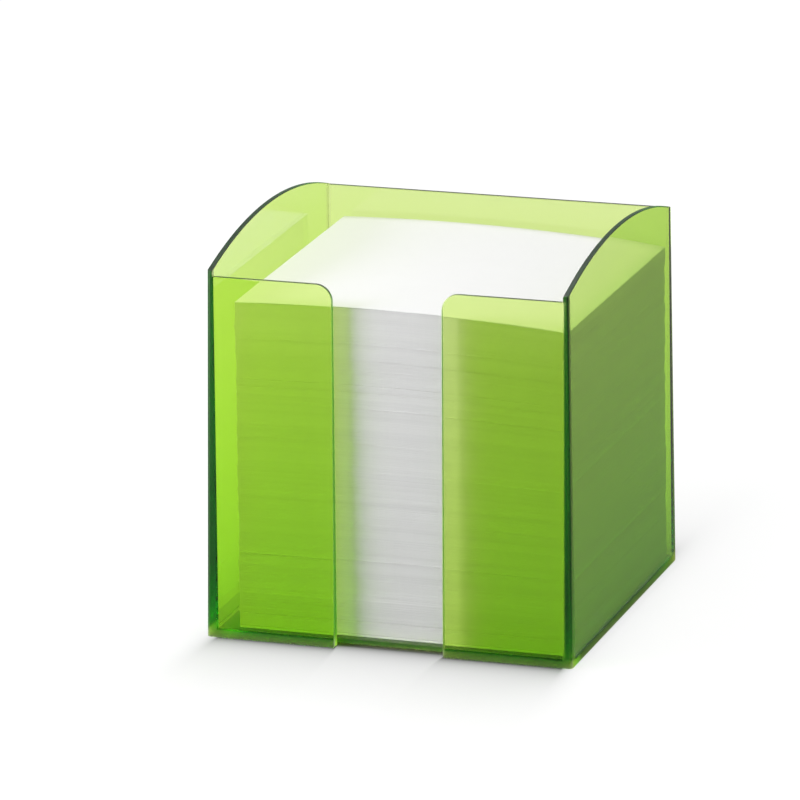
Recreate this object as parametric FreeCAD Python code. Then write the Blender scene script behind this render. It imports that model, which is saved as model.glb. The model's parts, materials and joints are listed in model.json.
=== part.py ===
"""Memo box: a clear, tinted box for loose paper slips, open at the top and slotted at the front.

The box is one injection moulding. The slips lie loose in it, in packets, and lift out upwards.
Sizes are in millimetres. +Z is up, the front faces -Y, and the origin is the middle of the base.
"""

import FreeCAD, Part
import math
import os

# Paper slips: square and loose, counted into packets from the floor up
SLIP_SIDE = 90.0
SLIP_THICKNESS = 0.1
SLIP_AIR = 0.0116
SLIPS_IN_PACKET = 25
PACKETS = 32
PACKETS_ABOVE_BREAK = 5

# Room between the slips and the walls
SIDE_ROOM = 2.8
DEPTH_ROOM = 2.8

# How the slips lie, as shares of that room: right of the middle, astray, and turned at their corners
STACK_RIGHT_SHARE = 0.8
STRAY_SHARE = 0.035
TURN_SHARE = 0.03
UPPER_FORWARD_SHARE = 0.09
UPPER_TURN_SHARE = 0.06

# Angles in radians that make each packet stray and turn differently from its neighbours
SIDEWAYS_STEP = 2.4
FORWARD_STEP = 1.7
TURN_STEP = 0.9

# Box: walls at the base and, thinner, at the corners' tops, corners, and the rise of the arched sides
WALL = 2.7
WALL_TOP = 1.45
CORNER_HEIGHT = 100.1
ARCH_RISE = 7.2

# Floor, which the walls hold a little above the desk
FLOOR_THICKNESS = 1.2
FLOOR_LIFT = 0.8

# Front panels, which end below the corners, and the slot between them
PANEL_DROP = 1.6
SLOT_WIDTH = 30.0
SLOT_CORNER = 4.5

# Rounded edges of the moulding
OUTER_CORNER = 1.0
RIM_ROUND = 0.25
FOOT_ROUND = 0.3

# Corners of the hollow under the floor, and the moulding gate's stub in it
BASE_HOLLOW_CORNER = 3.0
GATE_WIDTH = 4.0
GATE_HEIGHT = 0.3

# How far a cutting tool runs past what it cuts
OVERRUN = 5.0

# What follows from the sizes above
SLIP_PITCH = SLIP_THICKNESS + SLIP_AIR
INNER_WIDTH = SLIP_SIDE + 2 * SIDE_ROOM
INNER_DEPTH = SLIP_SIDE + 2 * DEPTH_ROOM
WIDTH = INNER_WIDTH + 2 * WALL
DEPTH = INNER_DEPTH + 2 * WALL
DRAFT = WALL - WALL_TOP
FLOOR = FLOOR_LIFT + FLOOR_THICKNESS
PANEL_HEIGHT = CORNER_HEIGHT - PANEL_DROP
CROWN_HEIGHT = CORNER_HEIGHT + ARCH_RISE

vector = FreeCAD.Vector
RIGHT = vector(1, 0, 0)
INWARD = vector(0, 1, 0)
UP = vector(0, 0, 1)


def block(x_low, x_high, y_low, y_high, z_low, z_high):
    """A rectangular block between these bounds."""
    corner = vector(x_low, y_low, z_low)
    return Part.makeBox(x_high - x_low, y_high - y_low, z_high - z_low, corner)


def face_inside(*curves):
    """A flat face bounded by these lines and arcs, given in order round it."""
    return Part.Face(Part.Wire([curve.toShape() for curve in curves]))


def runs_along(edge, direction):
    """True if this edge is a straight line along the direction."""
    if not isinstance(edge.Curve, Part.Line):
        return False
    return edge.Curve.Direction.cross(direction).Length < Part.Precision.angular()


def is_upright(edge):
    """True if this edge is a straight line that stands, upright or leaning with the walls."""
    return isinstance(edge.Curve, Part.Line) and abs(edge.Curve.Direction.z) > math.sqrt(0.5)


def round_uprights(solid, radius):
    """Round every upright edge of this solid."""
    return solid.makeFillet(radius, [edge for edge in solid.Edges if is_upright(edge)])


def arched_block():
    """The outside of the box: what its arched side view and its front view, carried through, have in common."""
    left = -WIDTH / 2
    front = -DEPTH / 2
    high = CROWN_HEIGHT + OVERRUN
    lean = DRAFT * high / CORNER_HEIGHT
    front_foot = vector(left, front, 0)
    back_foot = vector(left, -front, 0)
    right_foot = vector(-left, front, 0)
    front_top = vector(left, front + DRAFT, CORNER_HEIGHT)
    crown = vector(left, 0, CROWN_HEIGHT)
    back_top = vector(left, -front - DRAFT, CORNER_HEIGHT)
    left_high = vector(left + lean, front, high)
    right_high = vector(-left - lean, front, high)
    side_view = face_inside(
        Part.LineSegment(front_foot, front_top),
        Part.Arc(front_top, crown, back_top),
        Part.LineSegment(back_top, back_foot),
        Part.LineSegment(back_foot, front_foot),
    )
    front_view = face_inside(
        Part.LineSegment(front_foot, right_foot),
        Part.LineSegment(right_foot, right_high),
        Part.LineSegment(right_high, left_high),
        Part.LineSegment(left_high, front_foot),
    )
    through = side_view.extrude(RIGHT * WIDTH).common(front_view.extrude(INWARD * DEPTH))
    return round_uprights(through, OUTER_CORNER)


def compartment():
    """The space for the slips, from the floor to above the box."""
    side = INNER_WIDTH / 2
    deep = INNER_DEPTH / 2
    return block(-side, side, -deep, deep, FLOOR, CROWN_HEIGHT + OVERRUN)


def above_back_wall():
    """What is cut away between the side walls, so that the back wall's top is level."""
    side = INNER_WIDTH / 2
    outside = DEPTH / 2 + OVERRUN
    return block(-side, side, INNER_DEPTH / 2, outside, CORNER_HEIGHT, CROWN_HEIGHT + OVERRUN)


def front_opening():
    """What is cut from the front wall: all above the panels, and the slot, whose top corners are round."""
    side = INNER_WIDTH / 2
    slot = SLOT_WIDTH / 2
    shoulder = slot + SLOT_CORNER
    bend = SLOT_CORNER * (1 - math.sqrt(0.5))
    corner_low = PANEL_HEIGHT - SLOT_CORNER
    corner_bend = PANEL_HEIGHT - bend
    high = CROWN_HEIGHT + OVERRUN

    def at(x, z):
        return vector(x, -DEPTH / 2 - OVERRUN, z)

    front_view = face_inside(
        Part.LineSegment(at(-side, high), at(-side, PANEL_HEIGHT)),
        Part.LineSegment(at(-side, PANEL_HEIGHT), at(-shoulder, PANEL_HEIGHT)),
        Part.Arc(at(-shoulder, PANEL_HEIGHT), at(-slot - bend, corner_bend), at(-slot, corner_low)),
        Part.LineSegment(at(-slot, corner_low), at(-slot, -OVERRUN)),
        Part.LineSegment(at(-slot, -OVERRUN), at(slot, -OVERRUN)),
        Part.LineSegment(at(slot, -OVERRUN), at(slot, corner_low)),
        Part.Arc(at(slot, corner_low), at(slot + bend, corner_bend), at(shoulder, PANEL_HEIGHT)),
        Part.LineSegment(at(shoulder, PANEL_HEIGHT), at(side, PANEL_HEIGHT)),
        Part.LineSegment(at(side, PANEL_HEIGHT), at(side, high)),
        Part.LineSegment(at(side, high), at(-side, high)),
    )
    return front_view.extrude(INWARD * (OVERRUN + WALL))


def base_hollow():
    """The hollow under the floor, less the gate's stub."""
    side = INNER_WIDTH / 2
    deep = INNER_DEPTH / 2
    hollow = round_uprights(block(-side, side, -deep, deep, -OVERRUN, FLOOR_LIFT), BASE_HOLLOW_CORNER)
    stub = Part.makeCylinder(GATE_WIDTH / 2, GATE_HEIGHT, vector(0, 0, FLOOR_LIFT - GATE_HEIGHT))
    return hollow.cut(stub)


def is_rim(edge):
    """True for an edge along the top of a wall or panel, but not for one through its thickness."""
    near_top = edge.BoundBox.ZMax > PANEL_HEIGHT - RIM_ROUND
    return near_top and not is_upright(edge) and not runs_along(edge, INWARD)


def is_foot(edge):
    """True for an edge round the outside of the base, in and out of the slot."""
    box = edge.BoundBox
    under_side = max(-box.XMin, box.XMax) > INNER_WIDTH / 2 + FOOT_ROUND
    under_end = max(-box.YMin, box.YMax) > INNER_DEPTH / 2 + FOOT_ROUND
    return box.ZMax < FOOT_ROUND and (under_side or under_end)


def box_shell():
    """The moulded box: floor, back, two arched sides and two front panels, in one piece."""
    shell = arched_block().cut([compartment(), above_back_wall(), front_opening(), base_hollow()])
    shell = shell.makeFillet(RIM_ROUND, [edge for edge in shell.Edges if is_rim(edge)])
    shell = shell.makeFillet(FOOT_ROUND, [edge for edge in shell.Edges if is_foot(edge)])
    return shell.Solids[0]


def slips(first, count, packet):
    """A block of slips, counted up from the floor, that lies on the stack the way this packet does."""
    half = SLIP_SIDE / 2
    low = FLOOR + first * SLIP_PITCH + SLIP_AIR
    high = FLOOR + (first + count) * SLIP_PITCH
    right_share = STACK_RIGHT_SHARE + STRAY_SHARE * math.sin(SIDEWAYS_STEP * packet * packet)
    forward_share = STRAY_SHARE * math.sin(FORWARD_STEP * packet * packet)
    turn_share = TURN_SHARE * math.sin(TURN_STEP * packet * packet)
    if packet > PACKETS - PACKETS_ABOVE_BREAK:
        forward_share += UPPER_FORWARD_SHARE
        turn_share -= UPPER_TURN_SHARE
    solid = block(-half, half, -half, half, low, high)
    solid.rotate(vector(0, 0, 0), UP, math.degrees(turn_share * DEPTH_ROOM / half))
    solid.translate(vector(right_share * SIDE_ROOM, -forward_share * DEPTH_ROOM, 0))
    return solid


os.makedirs("parts", exist_ok=True)
box_shell().exportStep("parts/box_shell.step")
for packet in range(1, PACKETS + 1):
    below = SLIPS_IN_PACKET * (packet - 1)
    in_packet = SLIPS_IN_PACKET - 1 if packet == PACKETS else SLIPS_IN_PACKET
    slips(below, in_packet, packet).exportStep(f"parts/slips_{packet:02d}.step")
slips(SLIPS_IN_PACKET * PACKETS - 1, 1, PACKETS + 1).exportStep("parts/top_slip.step")
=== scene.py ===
"""Dresses the memo box: clear lime-green plastic round a stack of white paper slips, on a white desk.

Everything is in metres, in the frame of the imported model: +Z is up and the finger slot faces -Y.
"""

import json
import math

import bpy
import numpy as np
from mathutils import Matrix, Vector


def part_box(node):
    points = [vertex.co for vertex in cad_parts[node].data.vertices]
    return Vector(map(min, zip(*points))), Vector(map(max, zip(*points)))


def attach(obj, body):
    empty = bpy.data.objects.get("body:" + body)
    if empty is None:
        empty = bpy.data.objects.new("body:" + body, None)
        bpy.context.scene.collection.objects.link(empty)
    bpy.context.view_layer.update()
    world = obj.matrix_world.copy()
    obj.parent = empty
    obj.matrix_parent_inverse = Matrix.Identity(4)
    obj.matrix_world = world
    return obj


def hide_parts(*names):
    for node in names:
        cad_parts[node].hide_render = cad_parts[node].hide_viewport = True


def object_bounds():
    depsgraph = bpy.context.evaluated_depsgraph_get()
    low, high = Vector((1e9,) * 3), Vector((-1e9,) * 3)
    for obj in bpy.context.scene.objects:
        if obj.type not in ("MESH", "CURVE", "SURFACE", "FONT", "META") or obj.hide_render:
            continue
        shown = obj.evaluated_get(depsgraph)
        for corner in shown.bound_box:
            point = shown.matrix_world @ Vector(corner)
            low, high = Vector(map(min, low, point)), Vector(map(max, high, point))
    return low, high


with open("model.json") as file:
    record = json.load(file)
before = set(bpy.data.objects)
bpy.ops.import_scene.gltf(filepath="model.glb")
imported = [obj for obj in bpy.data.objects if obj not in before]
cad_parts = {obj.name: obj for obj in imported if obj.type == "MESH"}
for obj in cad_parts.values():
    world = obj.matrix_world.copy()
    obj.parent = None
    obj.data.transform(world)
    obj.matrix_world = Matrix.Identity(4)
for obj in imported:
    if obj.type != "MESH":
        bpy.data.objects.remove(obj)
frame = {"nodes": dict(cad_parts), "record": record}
cad_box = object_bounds()


# The box is one injection moulding of clear lime-green polystyrene, polished by its mould.
# The tint is all through the plastic: a wall seen face-on is pale, and one seen edge-on is dark.
# The solid already has the moulding's shape, so it stays as it is and only gets its finish.

wall = 0.0027
floor = 0.002


class Thread:
    """A value on its way through a material. It wraps a socket, and sums on it add Math nodes."""

    def __init__(self, tree, socket=None):
        self.tree = tree
        self.socket = socket

    def node(self, kind, settings, sockets, out=0):
        """Adds a node: first its settings, then the values or links of its sockets, and picks an output."""
        made = self.tree.nodes.new(kind)
        for name, value in settings.items():
            setattr(made, name, value)
        for name, value in sockets.items():
            if isinstance(name, str):
                inputs = [one for one in made.inputs if one.enabled]
                socket = next(one for one in inputs if name in (one.name, one.identifier))
            else:
                socket = made.inputs[name]
            if isinstance(value, Thread):
                self.tree.links.new(value.socket, socket)
            else:
                socket.default_value = value
        outputs = [one for one in made.outputs if one.enabled]
        if not outputs:
            return None
        chosen = outputs[out] if isinstance(out, int) else next(one for one in outputs if one.name == out)
        return Thread(self.tree, chosen)

    def maths(self, operation, *values):
        """A Math node on these values."""
        return self.node("ShaderNodeMath", {"operation": operation}, dict(enumerate(values)))

    def larger(self, other):
        """The larger of this value and another."""
        return self.maths("MAXIMUM", self, other)

    def smaller(self, other):
        """The smaller of this value and another."""
        return self.maths("MINIMUM", self, other)

    def __abs__(self):
        return self.maths("ABSOLUTE", self)

    def __lt__(self, other):
        return self.maths("LESS_THAN", self, other)

    def __gt__(self, other):
        return self.maths("GREATER_THAN", self, other)

    def __add__(self, other):
        return self.maths("ADD", self, other)

    def __radd__(self, other):
        return self.maths("ADD", other, self)

    def __sub__(self, other):
        return self.maths("SUBTRACT", self, other)

    def __rsub__(self, other):
        return self.maths("SUBTRACT", other, self)

    def __mul__(self, other):
        return self.maths("MULTIPLY", self, other)

    def __rmul__(self, other):
        return self.maths("MULTIPLY", other, self)

    def __truediv__(self, other):
        return self.maths("DIVIDE", self, other)


def new_material(name):
    """An empty node material, and a thread to start it with."""
    material = bpy.data.materials.new(name)
    material.use_nodes = True
    material.node_tree.nodes.clear()
    return material, Thread(material.node_tree)


def axes_of(start, kind):
    """The x, y and z of a place on the piece, for Object, or of the way its surface faces, for Normal."""
    vector = start.node("ShaderNodeTexCoord", {}, {}, kind)
    return [start.node("ShaderNodeSeparateXYZ", {}, {"Vector": vector}, axis) for axis in "XYZ"]


def clouds_of(start, scale, detail):
    """Noise from 0 to 1 with so many clouds to a metre, and so many finer layers within them."""
    place = start.node("ShaderNodeTexCoord", {}, {}, "Object")
    return start.node("ShaderNodeTexNoise", {}, {"Vector": place, "Scale": scale, "Detail": detail}, "Fac")


def streaks_of(start, scales, detail):
    """Noise drawn out into streaks: along each axis it has so many clouds to a metre."""
    place = start.node("ShaderNodeTexCoord", {}, {}, "Object")
    drawn = start.node("ShaderNodeVectorMath", {"operation": "MULTIPLY"}, {0: place, 1: scales})
    return start.node("ShaderNodeTexNoise", {}, {"Vector": drawn, "Scale": 1.0, "Detail": detail}, "Fac")


def rise_between(start, value, low, high, top=1.0):
    """0 where the value is at the low mark, the top where it is at the high one, and even in between."""
    return start.node(
        "ShaderNodeMapRange", {}, {"Value": value, "From Min": low, "From Max": high, "To Max": top}
    )


def wall_ends(start):
    """1 on the ends of the walls, such as the rims and the sides of the slot, and 0 on their broad sides.

    A point is on an end if it lies within a wall's thickness while its surface runs across that wall.
    """
    spare = 1.01
    across_below = 0.5
    half = (Vector(cad_box[1]) - Vector(cad_box[0])) / 2
    x, y, z = axes_of(start, "Object")
    across = [abs(lean) < across_below for lean in axes_of(start, "Normal")]
    in_side = abs(x) > half.x - wall * spare
    in_front = abs(y) > half.y - wall * spare
    in_floor = z < floor * spare
    return (in_side * across[0]).larger(in_front * across[1]).larger(in_floor * across[2])


def upright_corners(start):
    """1 on the rounded upright corners, which face both sideways and to the front or back, and else 0."""
    turned_above = 0.12
    aside, ahead, _ = axes_of(start, "Normal")
    return abs(aside).smaller(abs(ahead)) > turned_above


def lime_plastic():
    """Clear plastic that absorbs red and blue as light crosses it, with faint flow waves and signs of use.

    Fingers leave dull smudges on it, slips that slid in and out have rubbed fine upright lines into it, and
    its rims, corners and foot are scuffed. Over a path of d metres it lets through
    exp(-density * (1 - colour) * d) of each colour. A lamp's light crosses a wall from side to side, but
    only in part from a side to an end, because there the plastic reflects it back inside.
    """
    pass_colour = (0.787, 0.974, 0.029, 1)
    density = 690.0
    refraction = 1.5
    surface_pass = (0.97, 0.97, 0.97, 1)
    lamp_pass = (0.83, 0.83, 0.83, 1)
    end_block = 0.35
    polish = 0.012
    haze = 0.05
    rub = 0.06
    rim_matt = 0.35
    corner_scuff = 0.3
    foot_scuff = 0.45
    wave_depth = 0.0004
    wave_strength = 0.05
    material, start = new_material("lime_plastic")
    smudges = clouds_of(start, scale=90.0, detail=6.0)
    smudged = rise_between(start, smudges, low=0.5, high=0.75)
    upright_lines = streaks_of(start, scales=(1400, 1400, 45), detail=3.0)
    rubbed = rise_between(start, upright_lines, low=0.58, high=0.72)
    ends = wall_ends(start)
    height = axes_of(start, "Object")[2]
    foot = rise_between(start, height, low=floor * 1.6, high=floor * 0.8)
    worn = rim_matt * ends + corner_scuff * upright_corners(start) + foot_scuff * foot
    flow = clouds_of(start, scale=28.0, detail=2.0)
    wavy = {"Strength": wave_strength, "Distance": wave_depth, "Height": flow}
    wave = start.node("ShaderNodeBump", {}, wavy, "Normal")
    plastic = start.node(
        "ShaderNodeBsdfPrincipled",
        {},
        {
            "Base Color": surface_pass,
            "Roughness": polish + haze * smudged + rub * rubbed * smudged + worn,
            "IOR": refraction,
            "Transmission Weight": 1.0,
            "Normal": wave,
        },
    )
    clear = start.node("ShaderNodeBsdfTransparent", {}, {"Color": lamp_pass})
    for_lamps = start.node("ShaderNodeMixShader", {}, {0: ends * end_block, 1: clear, 2: plastic})
    lamp_ray = start.node("ShaderNodeLightPath", {}, {}, "Is Shadow Ray")
    surface = start.node("ShaderNodeMixShader", {}, {0: lamp_ray, 1: plastic, 2: for_lamps})
    tint = start.node("ShaderNodeVolumeAbsorption", {}, {"Color": pass_colour, "Density": density})
    start.node("ShaderNodeOutputMaterial", {}, {"Surface": surface, "Volume": tint})
    return material


box = frame["nodes"]["box_shell"]
box.data.materials.clear()
box.data.materials.append(lime_plastic())


# The slips are loose squares of uncoated white paper, guillotined and dropped into the box by the handful.
# Each one is modelled, in the packets that the frame holds, and strays a little from its neighbours. The
# packets above the break lie further forward, as the frame places them, and the whole stack bows.

rng = np.random.default_rng(7)
slip_thickness = 0.0001
slip_air = 0.0000116
drift = 0.00003
stray = 0.000025
loose_share = 0.03
loose_stray = 0.0001
slip_turn = 0.0004
drift_reach = 6
tone_reach = 4
tone_middle = 0.4
tone_drift = 0.15
tone_spread = 0.2
bow_middle = 0.0005
bow_sides = 0.0014
bow_right = 0.0007
bow_back = 0.00075
bow_twist = 0.0004
packet_steps = 5


def place_of(node):
    """A packet's middle and turn in the plan, and its side, from the corners of its solid."""
    points = np.array([vertex.co for vertex in frame["nodes"][node].data.vertices])
    front_left = points[np.argmin(points[:, 0] + points[:, 1])]
    front_right = points[np.argmax(points[:, 0] - points[:, 1])]
    back_right = points[np.argmax(points[:, 0] + points[:, 1])]
    along = front_right - front_left
    middle = (front_left + back_right) / 2
    return middle[0], middle[1], math.atan2(along[1], along[0]), math.hypot(along[0], along[1])


top_x, top_y, top_turn, slip_side = place_of("top_slip")
top_low, top_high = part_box("top_slip")


def stack_bow(x, y):
    """How far the top of the stack stands above level at a place in the plan.

    The sides fall off with the square of their distance from the middle, the right one further than the
    left. Towards the back it rises evenly, and less at the right.
    """
    aside = (x - top_x) / (slip_side / 2)
    back_share = (y - top_y) / slip_side + 0.5
    from_side_to_side = bow_middle - bow_sides * aside ** 2 - bow_right * aside
    return from_side_to_side + (bow_back - bow_twist * aside) * back_share


def slip_mesh(name, places, turns, bottoms, tones, steps):
    """Thin square slips as one mesh.

    Each slip is a grid with so many points to a side below and another on top, joined round the rim. A point
    is the slip's place plus its (u, v) times the side, turned by the slip's own angle. It stands at the
    slip's height plus the bow of the stack's top there, in the share that its height is of the stack's.
    """
    share = np.linspace(-0.5, 0.5, steps)
    u, v = np.meshgrid(share, share, indexing="ij")
    cosine = np.cos(turns)[:, None, None]
    sine = np.sin(turns)[:, None, None]
    x = places[:, 0, None, None] + slip_side * (u * cosine - v * sine)
    y = places[:, 1, None, None] + slip_side * (u * sine + v * cosine)
    height_share = (bottoms - floor) / (top_high.z - floor)
    z = bottoms[:, None, None] + stack_bow(x, y) * height_share[:, None, None]
    underside = np.stack([x, y, z], -1)
    points = np.stack([underside, underside + (0, 0, slip_thickness)], 1)
    low, high = np.arange(2 * steps * steps).reshape(2, steps, steps)
    top_faces = np.stack([high[:-1, :-1], high[1:, :-1], high[1:, 1:], high[:-1, 1:]], -1).reshape(-1, 4)
    low_faces = np.stack([low[:-1, :-1], low[:-1, 1:], low[1:, 1:], low[1:, :-1]], -1).reshape(-1, 4)
    round_low = np.concatenate([low[:-1, 0], low[-1, :-1], low[:0:-1, -1], low[0, :0:-1]])
    round_high = round_low + steps * steps
    rim_faces = np.stack([round_low, np.roll(round_low, -1), np.roll(round_high, -1), round_high], -1)
    faces = np.concatenate([top_faces, low_faces, rim_faces])
    firsts = np.arange(len(turns)) * 2 * steps * steps
    mesh = bpy.data.meshes.new(name)
    mesh.from_pydata(points.reshape(-1, 3), [], (faces[None] + firsts[:, None, None]).reshape(-1, 4))
    tone = mesh.attributes.new("tone", "FLOAT", "POINT")
    tone.data.foreach_set("value", np.repeat(tones, 2 * steps * steps).astype(np.float32))
    piece = bpy.data.objects.new(name, mesh)
    bpy.context.scene.collection.objects.link(piece)
    return piece


def slip_paper():
    """Uncoated white paper: each slip has its own tone, a cloudy bloom and fibres too fine to see singly.

    The cut sides carry the fine upright streaks that the guillotine's knife leaves.
    """
    white = (0.875, 0.875, 0.87, 1)
    shaded = (0.80, 0.80, 0.80, 1)
    tone_share = 0.6
    fibre_share = 0.2
    bloom_share = 0.2
    knife_share = 0.35
    cut_lightness = 0.15
    tooth_depth = 0.00003
    tooth_strength = 0.2
    material, start = new_material("slip_paper")
    tone = start.node("ShaderNodeAttribute", {"attribute_name": "tone"}, {}, "Fac")
    fibres = clouds_of(start, scale=2600.0, detail=4.0)
    bloom = clouds_of(start, scale=150.0, detail=3.0)
    knife = streaks_of(start, scales=(1800, 1800, 30), detail=2.0)
    on_side = 1 - abs(axes_of(start, "Normal")[2])
    all_over = tone * tone_share + fibres * fibre_share + bloom * bloom_share
    shade = all_over + knife * on_side * knife_share - on_side * cut_lightness
    colour = start.node("ShaderNodeMix", {"data_type": "RGBA"}, {"Factor": shade, "A": white, "B": shaded})
    rough = {"Strength": tooth_strength, "Distance": tooth_depth, "Height": fibres}
    tooth = start.node("ShaderNodeBump", {}, rough, "Normal")
    paper = start.node(
        "ShaderNodeBsdfPrincipled", {}, {"Base Color": colour, "Roughness": 0.9, "Normal": tooth}
    )
    start.node("ShaderNodeOutputMaterial", {}, {"Surface": paper})
    return material


def wander(count, reach):
    """Slow noise along the stack: white noise averaged over a bell of this reach, with a spread of 1."""
    tail = 3 * reach
    steps = np.arange(-tail, tail + 1)
    bell = np.exp(-0.5 * (steps / reach) ** 2)
    noise = np.convolve(rng.normal(0, 1, count + 2 * tail), bell, "valid")
    return noise / np.sqrt((bell ** 2).sum())


paper = slip_paper()
for body in ("lower_slips", "upper_slips"):
    packets = sorted(frame["record"]["behaviour"]["bodies"][body])
    rows = np.arange(len(packets))
    lies = np.array([place_of(name) for name in packets])
    spans = np.array([[corner.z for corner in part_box(name)] for name in packets])
    counts = np.rint((spans[:, 1] - spans[:, 0] + slip_air) / (slip_thickness + slip_air)).astype(int)
    packet_of = np.repeat(rows, counts)
    within = np.concatenate([np.arange(count) for count in counts])
    along = packet_of + (within + 0.5) / counts[packet_of] - 0.5
    total = len(along)
    pitch = (spans[:, 1] - spans[:, 0] - slip_thickness) / (counts - 1)
    bottoms = spans[packet_of, 0] + within * pitch[packet_of]
    loose = np.where(rng.random(total) < loose_share, loose_stray, stray)
    places = np.stack([np.interp(along, rows, lies[:, axis]) for axis in (0, 1)], -1)
    places += np.stack([wander(total, drift_reach), wander(total, drift_reach)], -1) * drift
    places += rng.normal(0, 1, (total, 2)) * loose[:, None]
    turns = np.interp(along, rows, lies[:, 2]) + rng.normal(0, slip_turn, total)
    tones = tone_middle + tone_drift * wander(total, tone_reach) + tone_spread * rng.normal(0, 1, total)
    tones = np.clip(tones, 0, 1)
    for row, name in enumerate(packets):
        here = packet_of == row
        packet = slip_mesh(
            "packet_" + name, places[here], turns[here], bottoms[here], tones[here], packet_steps
        )
        packet.data.materials.append(paper)
        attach(packet, body)
        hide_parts(name)


# The next slip to be taken lies loose on top of the stack. It is the same paper, cut to the same square.
# It is all that shows of the stack from above, so its bow has finer steps than the packets have.

next_slip_steps = 17
next_slip_tone = 0.3
next_slip = slip_mesh(
    "next_slip",
    np.array([[top_x, top_y]]),
    np.array([top_turn]),
    np.array([top_low.z]),
    np.array([next_slip_tone]),
    next_slip_steps,
)
next_slip.data.materials.append(paper)
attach(next_slip, "top_slip")
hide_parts("top_slip")


# The desk is a plain white sweep. The camera, and what is seen through the plastic, meet it as white paper.
# That white is darker round the box's foot, a painted soft shadow, and lighter under an emptied box,
# painted light; the lamps cast only faint real shadows on its grey. It lights the box like a grey floor.

desk_size = 6.0
desk_grey = (0.15, 0.15, 0.151, 1)
desk_glow = 0.9
desk_through = 0.78
desk_mirrored = 0.12
# These set a soft shadow painted into the desk's white round the box's foot, and painted light under it.
painted_contact_indent = 0.003
painted_contact_spread = 0.0008
painted_contact_front_share = 0.2
painted_shade_spread = 0.013
painted_shade_front_share = 0.3
painted_shade_indent = 0.005
painted_under_floor_light = 0.5
painted_under_light_from = 0.006
painted_under_light_full = 0.02
slot_width = 0.03
desk_corners = np.array([(-1, -1, 0), (1, -1, 0), (1, 1, 0), (-1, 1, 0)]) * desk_size
desk_mesh = bpy.data.meshes.new("desk")
desk_mesh.from_pydata(desk_corners, [], [(0, 1, 2, 3)])
desk = bpy.data.objects.new("desk", desk_mesh)
bpy.context.scene.collection.objects.link(desk)


def desk_free_of_painted_shadow(start, side_inset, end_inset, reach, forward_share):
    """How free the desk is of a shadow painted round the box: away / (away + reach).

    No lamp casts this painted shadow; it depends only on the way from the foot. The way is measured from so
    far inside the foot's sides and ends. To the front and back the painted shadow runs out further, so there
    only a share of the way counts. In the finger slot the foot stands back by the front wall's thickness.
    """
    high = cad_box[1]
    x, y, _ = axes_of(start, "Object")
    past_foot = abs(y) - (high[1] - end_inset)
    aside = (abs(x) - (high[0] - side_inset)).larger(0.0)
    ahead = past_foot.larger(0.0) * forward_share
    from_foot = start.maths("SQRT", aside * aside + ahead * ahead)
    to_panel = (slot_width / 2 - abs(x)).larger(0.0)
    from_panel = start.maths("SQRT", to_panel * to_panel + ahead * ahead)
    from_floor = (past_foot + wall).larger(0.0) * forward_share
    in_slot = from_panel.smaller(from_floor) * (y < 0.0)
    away = from_foot.larger(in_slot)
    return away / (away + reach)


def painted_light_below_box(start):
    """Painted light on the desk under an emptied box: 0 at the foot, and more with the way in from there."""
    high = cad_box[1]
    x, y, _ = axes_of(start, "Object")
    way_in = (high[0] - abs(x)).smaller(high[1] - abs(y))
    return rise_between(start, way_in, painted_under_light_from, painted_under_light_full, painted_under_floor_light)


def desk_white():
    """Grey that scatters light, with as much white added for the eye as takes it to white.

    The white is added for rays that come from the camera, straight or through the plastic, and less for
    mirrored ones. It fades near the box's foot, a painted shadow; through the plastic it is dimmer and fades
    further out, painted shade, and comes back under an emptied box, painted light. Rays that a slip has
    scattered don't meet it, so it lights nothing.
    """
    material, start = new_material("desk_white")
    grey = start.node("ShaderNodeBsdfDiffuse", {}, {"Color": desk_grey})
    straight = start.node("ShaderNodeLightPath", {}, {}, "Is Camera Ray")
    through = start.node("ShaderNodeLightPath", {}, {}, "Is Transmission Ray")
    mirrored = start.node("ShaderNodeLightPath", {}, {}, "Is Glossy Ray")
    scattered = start.node("ShaderNodeLightPath", {}, {}, "Diffuse Depth")
    # Painted shadow and shade: the white fades near the foot, and round the box as seen through the plastic.
    free_of_painted_foot_shadow = desk_free_of_painted_shadow(start, painted_contact_indent, 0.0, painted_contact_spread, painted_contact_front_share)
    free_of_painted_wall_shade = desk_free_of_painted_shadow(start, painted_shade_indent, painted_shade_indent, painted_shade_spread, painted_shade_front_share)
    # Painted light: under the box the white comes back, more with the way in from the foot.
    free_of_painted_wall_shade = free_of_painted_wall_shade.larger(painted_light_below_box(start))
    seen = (straight + mirrored * desk_mirrored) * free_of_painted_foot_shadow + through * desk_through * free_of_painted_wall_shade
    unscattered = 1 - scattered.smaller(1.0)
    glow = start.node("ShaderNodeEmission", {}, {"Strength": seen * unscattered * desk_glow})
    both = start.node("ShaderNodeAddShader", {}, {0: grey, 1: glow})
    start.node("ShaderNodeOutputMaterial", {}, {"Surface": both})
    return material


desk_mesh.materials.append(desk_white())


# The studio: a soft lamp near the front left, a wide one above and behind, and an even pale surrounding that
# gloss shows a little brighter. The lamps aren't seen through the plastic, and light may bounce in it often.

box_middle = Vector((0, 0, 0.05))
surrounding = 0.28
surrounding_mirrored = 0.36
scene = bpy.context.scene
scene.cycles.max_bounces = 32
scene.cycles.glossy_bounces = 24
scene.cycles.transmission_bounces = 32
scene.cycles.blur_glossy = 0.0
world = bpy.data.worlds.new("studio")
world.use_nodes = True
world.node_tree.nodes.clear()
air = Thread(world.node_tree)
gleam = air.node("ShaderNodeLightPath", {}, {}, "Is Glossy Ray") * (surrounding_mirrored - surrounding)
pale = air.node("ShaderNodeBackground", {}, {"Color": (1, 1, 1, 1), "Strength": gleam + surrounding})
air.node("ShaderNodeOutputWorld", {}, {"Surface": pale})
world.cycles.sampling_method = "NONE"
scene.world = world


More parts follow.
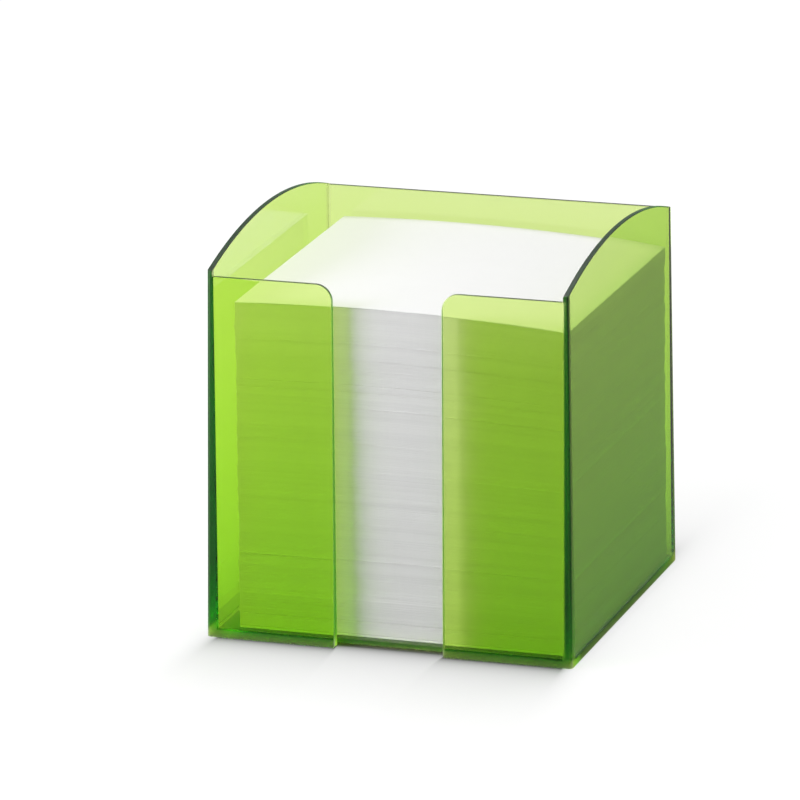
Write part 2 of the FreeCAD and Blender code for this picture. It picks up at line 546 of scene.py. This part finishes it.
def soft_lamp(name, turn, rise, distance, size, level):
    """A round lamp that faces the middle of the box, from this turn to the right of the front and this rise.

    The level is how bright it makes a white surface that faces it, for which its power is
    level * pi^2 * distance^2 watts.
    """
    lamp = bpy.data.lights.new(name, "AREA")
    lamp.shape = "DISK"
    lamp.size = size
    lamp.energy = level * (math.pi * distance) ** 2
    way = Vector((math.sin(turn) * math.cos(rise), -math.cos(turn) * math.cos(rise), math.sin(rise)))
    holder = bpy.data.objects.new(name, lamp)
    holder.location = box_middle + way * distance
    holder.rotation_euler = way.to_track_quat("Z", "Y").to_euler()
    holder.visible_transmission = False
    scene.collection.objects.link(holder)


soft_lamp(
    "front_left_lamp", turn=math.radians(-54), rise=math.radians(18), distance=0.42, size=0.27, level=1.18
)
soft_lamp("top_lamp", turn=math.radians(172), rise=math.radians(64), distance=2.0, size=1.0, level=0.7)


# The camera stands where the photograph was taken from: a long lens, a little right of the front and above.
# It looks at the middle of the box, then turns until that comes to its own pixel, and rolls.

eye_turn = math.radians(17.57)
eye_rise = math.radians(16.0)
eye_roll = math.radians(-0.54)
eye_distance = 1.8
focal_pixels = 6720.0
image_side = 800
aim_pixel = (444.2, 419.7)
sensor_width = 36.0
sight_end = 20.0
away_from_box = Vector((
    math.sin(eye_turn) * math.cos(eye_rise), -math.cos(eye_turn) * math.cos(eye_rise), math.sin(eye_rise)
))
upwards = Vector((0, 0, 1))
right = upwards.cross(away_from_box).normalized()
above = away_from_box.cross(right)
forward = -away_from_box - right * ((aim_pixel[0] - image_side / 2) / focal_pixels)
forward = (forward + above * ((aim_pixel[1] - image_side / 2) / focal_pixels)).normalized()
right = forward.cross(upwards).normalized()
above = right.cross(forward)
rolled_right = right * math.cos(eye_roll) + above * math.sin(eye_roll)
rolled_above = above * math.cos(eye_roll) - right * math.sin(eye_roll)
lens = bpy.data.cameras.new("camera")
lens.sensor_width = sensor_width
lens.lens = focal_pixels / image_side * sensor_width
lens.clip_end = sight_end
camera = bpy.data.objects.new("camera", lens)
turned = Matrix((rolled_right, rolled_above, -forward)).transposed().to_4x4()
camera.matrix_world = Matrix.Translation(box_middle + away_from_box * eye_distance) @ turned
scene.collection.objects.link(camera)
scene.camera = camera
scene.view_settings.view_transform = "Standard"
